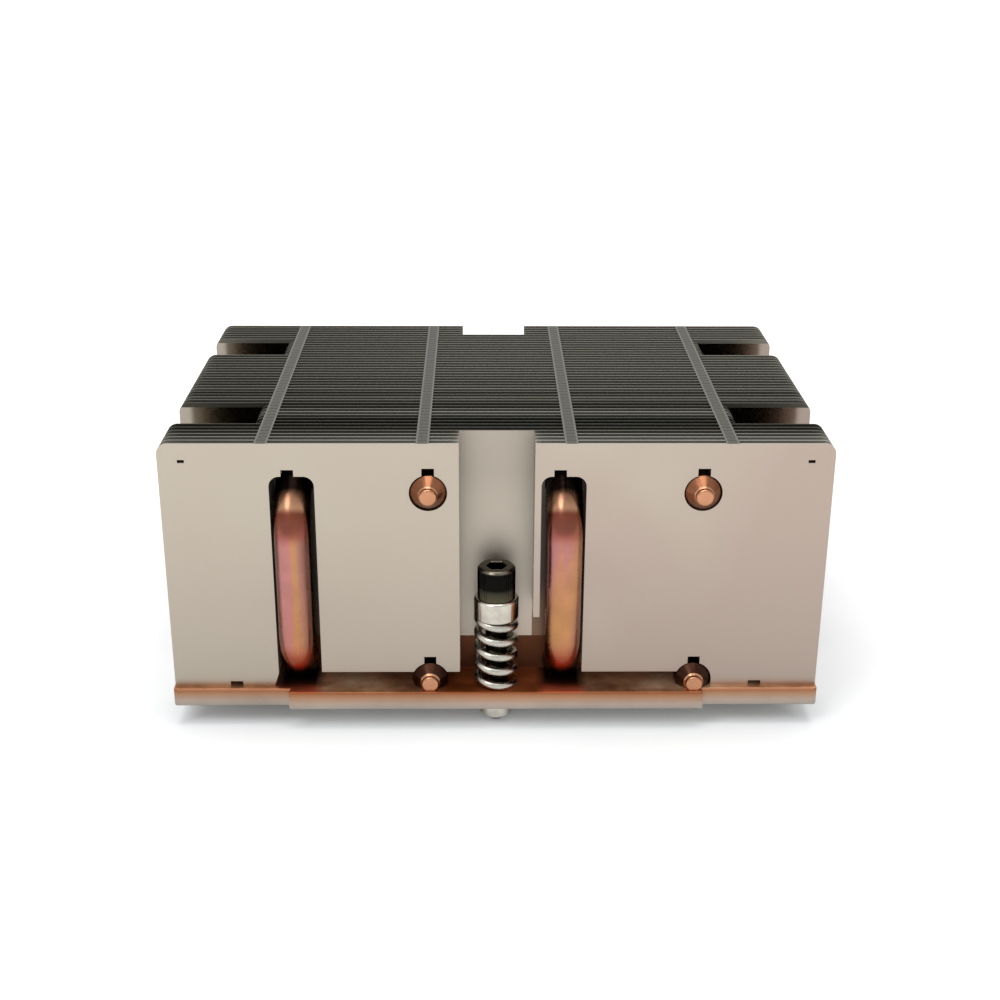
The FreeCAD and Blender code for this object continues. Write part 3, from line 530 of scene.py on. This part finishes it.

    # Tab rows: a joint at each fin, and a painted highlight as a bright rim along both sides of the row.
    from_rows = []
    for tab_place in TAB_PLACES:
        offset = add_node(tree, "ShaderNodeMath", {
            0: sideways.outputs[0], 1: tab_place}, operation="SUBTRACT")
        from_rows.append(add_node(tree, "ShaderNodeMath", {0: offset.outputs[0]}, operation="ABSOLUTE"))
    from_row = add_node(tree, "ShaderNodeMath", {
        0: from_rows[0].outputs[0], 1: from_rows[1].outputs[0]}, operation="MINIMUM")
    on_tab = add_node(tree, "ShaderNodeMath", {0: from_row.outputs[0], 1: TAB_HALF}, operation="LESS_THAN")
    folded = add_node(tree, "ShaderNodeMath", {
        0: upward.outputs[0], 1: on_tab.outputs[0]}, operation="MULTIPLY")
    fold = add_node(tree, "ShaderNodeMath", {
        0: axes.outputs["Y"], 1: 1 / FIN_PITCH, 2: 0.1}, operation="MULTIPLY_ADD")
    fold = add_node(tree, "ShaderNodeMath", {0: fold.outputs[0]}, operation="FRACT")
    fold_colour = add_node(tree, "ShaderNodeValToRGB", {0: fold.outputs[0]}, stops=[
        (0.0, "292824"), (0.1, "2f2e2b"), (0.16, "5e5d56"), (0.6, "52514a"), (0.85, "66655e"),
        (1.0, "383732")])
    rim = add_node(tree, "ShaderNodeMapRange", {
        0: from_row.outputs[0], "From Min": 0.9 * MM, "From Max": 1.15 * MM, "To Max": 0.55})
    tab_colour_with_painted_rim = add_node(tree, "ShaderNodeMix", {
        0: rim.outputs[0], 6: fold_colour.outputs[0], 7: linear("8c8b81")}, data_type="RGBA")
    colour = add_node(tree, "ShaderNodeMix", {
        0: folded.outputs[0], 6: edge_tone_with_painted_light.outputs[2], 7: tab_colour_with_painted_rim.outputs[2]}, data_type="RGBA")

    rough = add_node(tree, "ShaderNodeMapRange", {
        0: sideways.outputs[0], "From Min": 50.0 * MM, "From Max": 56.0 * MM, "To Min": 0.3, "To Max": 0.14})
    rough = add_node(tree, "ShaderNodeMix", {0: inside.outputs[0], 2: 0.42, 3: rough.outputs[0]})
    rough = add_node(tree, "ShaderNodeMix", {0: open_wall.outputs[0], 2: rough.outputs[0], 3: 0.52})
    rough = add_node(tree, "ShaderNodeMix", {0: near_top.outputs[0], 2: rough.outputs[0], 3: 0.5})
    stretched = add_node(tree, "ShaderNodeMapping", {
        "Vector": place, "Scale": (1 / (0.5882 * MM), 1 / (50.0 * MM), 1 / (50.0 * MM))})
    marks = add_node(tree, "ShaderNodeTexNoise", {
        "Vector": stretched.outputs[0], "Scale": 1.0, "Detail": 2.0})
    bump = add_node(tree, "ShaderNodeBump", {
        "Height": marks.outputs[0], "Strength": 0.12, "Distance": 0.01 * MM})
    shader = add_node(tree, "ShaderNodeBsdfPrincipled", {
        "Base Color": colour.outputs[2], "Metallic": 1.0, "Roughness": rough.outputs[0],
        "Normal": bump.outputs[0]})
    add_node(tree, "ShaderNodeOutputMaterial", {0: shader.outputs[0]})
    return material


paint([name for name in sorted(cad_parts) if name.startswith("fin_")], rolled_fin_sheet())

# ---- Captive screws ------------------------------------------------------------------------------
# Socket-head shoulder screws, black-oxidised, with a fine knurl round the head. The shank is plain, and a
# short thread sits below the retainer that keeps the screw in the plate.

SCREW_PLACES = {"front": -44.45 * MM, "rear": 44.45 * MM}
HEAD_TOP = 38.1 * MM
HEAD_BOTTOM = 30.7 * MM
HEAD_RADIUS = 4.2 * MM
HEAD_CHAMFER = 0.5 * MM
SHANK_RADIUS = 2.4 * MM
SHOULDER = 1.4 * MM
THREAD_RADIUS = 2.0 * MM
THREAD_TIP = 0.4 * MM
THREAD_PITCH = 0.7 * MM
THREAD_DEPTH = 0.3 * MM
SOCKET_HALF = 2.0 * MM
SOCKET_DEPTH = 3.6 * MM
DRILL_POINT = 0.8 * MM
KNURLS = 48
KNURL_DEPTH = 0.1 * MM


def turned_metal(name, colour, dull, shine, grooves, tone_with_painted_light=None):
    """Turned steel: rings from the tool, at the given spacing in metres, stains some 2 mm wide, and a
    finish between two roughnesses. Zinc or nickel is bright and slightly warm; black oxide is nearly
    black and glossy. Colour stops, if given, set its colours from the bottom of the screw head to its
    top, with painted reflection and painted highlight among them."""
    material, tree = empty_material(name)
    place = add_node(tree, "ShaderNodeTexCoord").outputs["Object"]
    stretched = add_node(tree, "ShaderNodeMapping", {
        "Vector": place, "Scale": (1 / (25.0 * MM), 1 / (25.0 * MM), 1 / grooves)})
    rings = add_node(tree, "ShaderNodeTexNoise", {
        "Vector": stretched.outputs[0], "Scale": 1.0, "Detail": 2.0})
    stains = add_node(tree, "ShaderNodeTexNoise", {
        "Vector": place, "Scale": 1 / (2.0 * MM), "Detail": 3.0})
    base = linear(colour)
    if tone_with_painted_light:
        height = add_node(tree, "ShaderNodeSeparateXYZ", {0: place}).outputs["Z"]
        level = add_node(tree, "ShaderNodeMapRange", {
            0: height, "From Min": HEAD_BOTTOM, "From Max": HEAD_TOP})
        base = add_node(tree, "ShaderNodeValToRGB", {0: level.outputs[0]}, stops=tone_with_painted_light).outputs[0]
    tone = add_node(tree, "ShaderNodeMix", {
        0: 0.35, 6: base, 7: stains.outputs[0]}, data_type="RGBA", blend_type="OVERLAY")
    rough = add_node(tree, "ShaderNodeMapRange", {
        0: stains.outputs[0], "From Min": 0.3, "From Max": 0.7, "To Min": shine, "To Max": dull})
    bump = add_node(tree, "ShaderNodeBump", {
        "Height": rings.outputs[0], "Strength": 0.3, "Distance": 0.02 * MM})
    shader = add_node(tree, "ShaderNodeBsdfPrincipled", {
        "Base Color": tone.outputs[2], "Metallic": 1.0, "Roughness": rough.outputs[0],
        "Normal": bump.outputs[0]})
    add_node(tree, "ShaderNodeOutputMaterial", {0: shader.outputs[0]})
    return material


def rounded(corners, closed, cut):
    """A profile of (radius, height) corners, each corner replaced by a curve that starts and ends the
    given distance from it, or a third of the way along a shorter side. Open ends stay as they are."""
    corners = np.asarray(corners, float)
    before, after = np.roll(corners, 1, 0), np.roll(corners, -1, 0)
    t = np.array([0.0, 0.25, 0.5, 0.75, 1.0])[:, None]
    points = []
    for index, corner in enumerate(corners):
        if not closed and index in (0, len(corners) - 1):
            points.append(corner[None])
            continue
        ends = []
        for other in (before[index], after[index]):
            reach = np.linalg.norm(other - corner)
            ends.append(corner + (other - corner) / reach * min(cut, reach / 3))
        points.append((1 - t) ** 2 * ends[0] + 2 * t * (1 - t) * corner + t ** 2 * ends[1])
    return np.concatenate(points)


def turned(name, profile, centre_y, sides, closed=False, shape=None):
    """A turned piece: the (radius, height) profile carried round the upright axis at y = centre_y. shape
    changes the radii, given the arrays of radius, height and angle."""
    angle = np.linspace(0, 2 * math.pi, sides, endpoint=False)
    radius = np.repeat(profile[:, :1], sides, 1)
    height = np.repeat(profile[:, 1:], sides, 1)
    if shape:
        radius = shape(radius, height, angle[None, :])
    grid = np.stack([radius * np.cos(angle), centre_y + radius * np.sin(angle), height], -1)
    return surface(name, grid, closed_rows=closed)


def screw_profile():
    """From the thread's tip up the shank, over the head, and down the socket to its drill point. Nine
    rings of full radius lie where the thread is cut."""
    tip = [[THREAD_RADIUS - THREAD_DEPTH, THREAD_TIP]]
    thread = np.stack([np.full(9, THREAD_RADIUS), np.linspace(THREAD_TIP + 0.2 * MM, SHOULDER, 9)], -1)
    body = rounded([
        [THREAD_RADIUS, SHOULDER], [SHANK_RADIUS, SHOULDER + 0.1 * MM], [SHANK_RADIUS, HEAD_BOTTOM],
        [HEAD_RADIUS, HEAD_BOTTOM], [HEAD_RADIUS, HEAD_TOP - HEAD_CHAMFER],
        [HEAD_RADIUS - HEAD_CHAMFER, HEAD_TOP], [SOCKET_HALF + 0.45 * MM, HEAD_TOP]], False, 0.12 * MM)
    socket_floor = HEAD_TOP - SOCKET_DEPTH
    socket = [
        [SOCKET_HALF + 0.15 * MM, HEAD_TOP - 0.01 * MM], [SOCKET_HALF, HEAD_TOP - 0.15 * MM],
        [SOCKET_HALF, socket_floor], [0.3 * MM, socket_floor - DRILL_POINT]]
    return np.concatenate([tip, thread, body[1:], socket])


def screw_shape(radius, height, angle):
    """Cut the screw's details into its radii: a V thread that climbs by its pitch each turn, fine upright
    knurls round the head, and a six-sided socket whose flats are its half width from the axis."""
    in_thread = (height < SHOULDER) & (height > THREAD_TIP)
    phase = (height / THREAD_PITCH - angle / (2 * math.pi)) % 1
    radius = radius - in_thread * THREAD_DEPTH * np.abs(2 * phase - 1)
    on_side = (radius > HEAD_RADIUS - 0.02 * MM) & (height > HEAD_BOTTOM + 0.1 * MM)
    radius = radius - on_side * KNURL_DEPTH * (0.5 - 0.5 * np.cos(KNURLS * angle))
    flats = 1 / np.cos(angle % (math.pi / 3) - math.pi / 6)
    in_socket = (radius < SOCKET_HALF + 0.2 * MM) & (radius > 0.5 * MM)
    in_socket &= height > HEAD_TOP - SOCKET_DEPTH - 0.1 * MM
    return np.where(in_socket, radius * flats, radius)


# The head's colours, bottom to top: a greyer band low on the side, painted reflection of the floor; black;
# and a paler ring at the rim of its top, painted highlight.
black_oxide = turned_metal("black_oxide_steel", "2b2924", 0.3, 0.14, 0.4 * MM, tone_with_painted_light=[
    (0.02, "4c4938"), (0.3, "34322a"), (0.4, "12110f"), (0.9, "12110f"), (0.95, "6c675a"),
    (0.995, "6c675a"), (1.0, "3a3325")])
for end, place in SCREW_PLACES.items():
    screw_mesh = turned(f"{end}_socket_screw", screw_profile(), place, KNURLS * 4, shape=screw_shape)
    screw = add_piece(f"{end}_socket_screw", screw_mesh, black_oxide, f"{end}_screw")
    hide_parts(f"{end}_screw")

# ---- Collars and retainers -----------------------------------------------------------------------
# Turned steel rings with a bright plating. The collar carries the head and centres the spring on its
# spigot; the retainer is pressed on the shank below the plate.

COLLAR_PROFILE = np.array([
    (2.48, 23.7), (2.9, 23.7), (2.9, 25.9), (5.0, 25.9), (5.0, 30.3), (4.6, 30.7), (2.48, 30.7)]) * MM
COLLAR_ROUND = 0.25 * MM
RETAINER_PROFILE = np.array([(2.4, 1.5), (3.25, 1.5), (3.65, 1.9), (3.65, 4.9), (2.4, 4.9)]) * MM
RETAINER_ROUND = 0.2 * MM
RING_SIDES = 96

bright_plating = turned_metal("nickel_plated_steel", "bfbaaf", 0.24, 0.1, 0.3 * MM)
collar_profile = rounded(COLLAR_PROFILE, True, COLLAR_ROUND)
retainer_profile = rounded(RETAINER_PROFILE, True, RETAINER_ROUND)
for end, place in SCREW_PLACES.items():
    collar_mesh = turned(f"{end}_plated_collar", collar_profile, place, RING_SIDES, closed=True)
    collar = add_piece(f"{end}_plated_collar", collar_mesh, bright_plating, f"{end}_collar")
    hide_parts(f"{end}_spring_collar")
    ring_mesh = turned(f"{end}_plated_retainer", retainer_profile, place, RING_SIDES, closed=True)
    ring = add_piece(f"{end}_plated_retainer", ring_mesh, bright_plating, f"{end}_screw")
    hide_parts(f"{end}_retainer")

# ---- Springs -------------------------------------------------------------------------------------
# Left-hand compression springs of round zinc-plated wire, their ends ground flat. Each stands on the
# plate and holds its collar and screw up.

SPRING_BOTTOM = PLATE_TOP
SPRING_TOP = 25.9 * MM
SPRING_TURNS = 4.6
WIRE_RADIUS = 0.9 * MM
COIL_RADIUS = 4.1 * MM
STEPS_PER_TURN = 40
WIRE_SIDES = 20


def spring_surface(name, centre_y):
    """A round wire along a left-hand helix: circles in the plane of the radius and the binormal, with
    every point that would pass the ground ends moved on to them."""
    steps = round(SPRING_TURNS * STEPS_PER_TURN) + 1
    turn = np.linspace(0, 2 * math.pi * SPRING_TURNS, steps)
    rise = (SPRING_TOP - SPRING_BOTTOM) / turn[-1]
    outward = np.stack([np.cos(turn), -np.sin(turn), np.zeros(steps)], -1)
    ahead = np.stack([-COIL_RADIUS * np.sin(turn), -COIL_RADIUS * np.cos(turn), np.full(steps, rise)], -1)
    ahead /= np.linalg.norm(ahead, axis=1, keepdims=True)
    upward = np.cross(ahead, outward)
    axis = np.stack([np.zeros(steps), np.full(steps, centre_y), SPRING_BOTTOM + rise * turn], -1)
    middle = COIL_RADIUS * outward + axis
    around = np.linspace(0, 2 * math.pi, WIRE_SIDES, endpoint=False)[None, :, None]
    rim = np.cos(around) * outward[:, None] + np.sin(around) * upward[:, None]
    grid = middle[:, None] + WIRE_RADIUS * rim
    grid[..., 2] = np.clip(grid[..., 2], SPRING_BOTTOM, SPRING_TOP)
    return surface(name, grid)


zinc_wire = turned_metal("zinc_plated_wire", "b4b1a7", 0.34, 0.18, 0.5 * MM)
for end, place in SCREW_PLACES.items():
    spring_mesh = spring_surface(f"{end}_coil_spring", place)
    spring = add_piece(f"{end}_coil_spring", spring_mesh, zinc_wire, "heatsink")
    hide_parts(f"{end}_spring")
    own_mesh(spring)

# ---- Floor, light and camera ---------------------------------------------------------------------
# A seamless pale sweep of painted board under an even studio tent, with a soft box overhead and a small one
# at the front. The board and the tent show as plain white; the board keeps the soft shadow of the object.

FLOOR_HALF = 6.0
SENSOR_WIDTH = 36.0
FOCAL_RATIO = 1.5127
CAMERA_PLACE = Vector((-3.78, -347.5, 176.6)) * MM
PITCH, YAW, ROLL = (math.radians(angle) for angle in (22.09, 0.845, 0.303))


def seen_directly(tree):
    """An output that is 1 for rays by which the camera, bright metal or glass sees a thing, and 0 for
    those that only carry its light."""
    ray = add_node(tree, "ShaderNodeLightPath")
    seen = add_node(tree, "ShaderNodeMath", {
        0: ray.outputs["Is Camera Ray"], 1: ray.outputs["Is Glossy Ray"]}, operation="MAXIMUM")
    seen = add_node(tree, "ShaderNodeMath", {
        0: seen.outputs[0], 1: ray.outputs["Is Transmission Ray"]}, operation="MAXIMUM")
    return seen.outputs[0]


def board_material():
    """Matt white board, painted slightly cooler close to the object against the warm light bounced off the
    copper. What the camera and bright metal see of it is lifted to white by a glow that grows away from
    the object, so that only its own shadow shows."""
    material, tree = empty_material("painted_board")
    spot = add_node(tree, "ShaderNodeSeparateXYZ", {
        0: add_node(tree, "ShaderNodeTexCoord").outputs["Object"]})
    # The distance from the object's middle, as a square, less 24 mm to each side for its greater width.
    beside = add_node(tree, "ShaderNodeMath", {0: spot.outputs["X"]}, operation="ABSOLUTE")
    beside = add_node(tree, "ShaderNodeMath", {0: beside.outputs[0], 1: 24.0 * MM}, operation="SUBTRACT")
    before = add_node(tree, "ShaderNodeMath", {0: spot.outputs["Y"]}, operation="ABSOLUTE")
    reach = add_node(tree, "ShaderNodeMath", {
        0: beside.outputs[0], 1: before.outputs[0]}, operation="MAXIMUM")
    away = add_node(tree, "ShaderNodeMapRange", {
        0: reach.outputs[0], "From Min": 30.0 * MM, "From Max": 700.0 * MM})
    lift = add_node(tree, "ShaderNodeValToRGB", {0: away.outputs[0]}, stops=[
        (0.0, "303030"), (0.019, "5c5c5c"), (0.026, "868686"), (0.06, "808080"), (0.25, "aaaaaa"),
        (1.0, "ffffff")])
    glow = add_node(tree, "ShaderNodeMath", {
        0: seen_directly(tree), 1: lift.outputs[0]}, operation="MULTIPLY")
    # Cooler paint close to the object: a painted tint that offsets the warm light bounced off the copper.
    clear = add_node(tree, "ShaderNodeMapRange", {
        0: reach.outputs[0], "From Min": 50.0 * MM, "From Max": 75.0 * MM})
    paint_colour = add_node(tree, "ShaderNodeMix", {
        0: clear.outputs[0], 6: linear("e5e8ea"), 7: linear("f2f2f2")}, data_type="RGBA")
    shader = add_node(tree, "ShaderNodeBsdfPrincipled", {
        "Base Color": paint_colour.outputs[2], "Roughness": 0.9, "Specular IOR Level": 0.0,
        "Emission Color": (1, 1, 1, 1), "Emission Strength": glow.outputs[0]})
    add_node(tree, "ShaderNodeOutputMaterial", {0: shader.outputs[0]})
    return material


board_mesh = bpy.data.meshes.new("floor")
board_mesh.from_pydata([(-FLOOR_HALF, -FLOOR_HALF, 0), (FLOOR_HALF, -FLOOR_HALF, 0),
                        (FLOOR_HALF, FLOOR_HALF, 0), (-FLOOR_HALF, FLOOR_HALF, 0)], [], [(0, 1, 2, 3)])
board_mesh.materials.append(board_material())
board = bpy.data.objects.new("floor", board_mesh)
bpy.context.scene.collection.objects.link(board)

world = bpy.data.worlds.new("studio_tent")
bpy.context.scene.world = world
world.use_nodes = True
world.node_tree.nodes.clear()
tent = add_node(world.node_tree, "ShaderNodeMapRange", {
    0: seen_directly(world.node_tree), "To Min": 0.6, "To Max": 1.0})
sky = add_node(world.node_tree, "ShaderNodeBackground", {
    "Color": (1, 1, 1, 1), "Strength": tent.outputs[0]})
add_node(world.node_tree, "ShaderNodeOutputWorld", {0: sky.outputs[0]})

for name, place, side, power in (("overhead_box", (0.0, 0.0, 1.4), 0.8, 8.5),
                                 ("front_box", (-0.5, -0.6, 1.0), 0.5, 3.2)):
    lamp = bpy.data.lights.new(name, "AREA")
    lamp.shape, lamp.size, lamp.energy = "SQUARE", side, power
    box = bpy.data.objects.new(name, lamp)
    box.location = place
    box.rotation_euler = (-box.location).to_track_quat("-Z", "Y").to_euler()
    bpy.context.scene.collection.objects.link(box)

forward = Vector((math.sin(YAW) * math.cos(PITCH), math.cos(YAW) * math.cos(PITCH), -math.sin(PITCH)))
level = Vector((math.cos(YAW), -math.sin(YAW), 0))
right = level * math.cos(ROLL) + level.cross(forward) * math.sin(ROLL)
lens = bpy.data.cameras.new("camera")
lens.sensor_width = SENSOR_WIDTH
lens.lens = SENSOR_WIDTH * FOCAL_RATIO
camera = bpy.data.objects.new("camera", lens)
camera.matrix_world = Matrix.Translation(CAMERA_PLACE) @ Matrix((
    right, right.cross(forward), -forward)).transposed().to_4x4()
bpy.context.scene.collection.objects.link(camera)
bpy.context.scene.camera = camera
bpy.context.scene.view_settings.view_transform = "Standard"
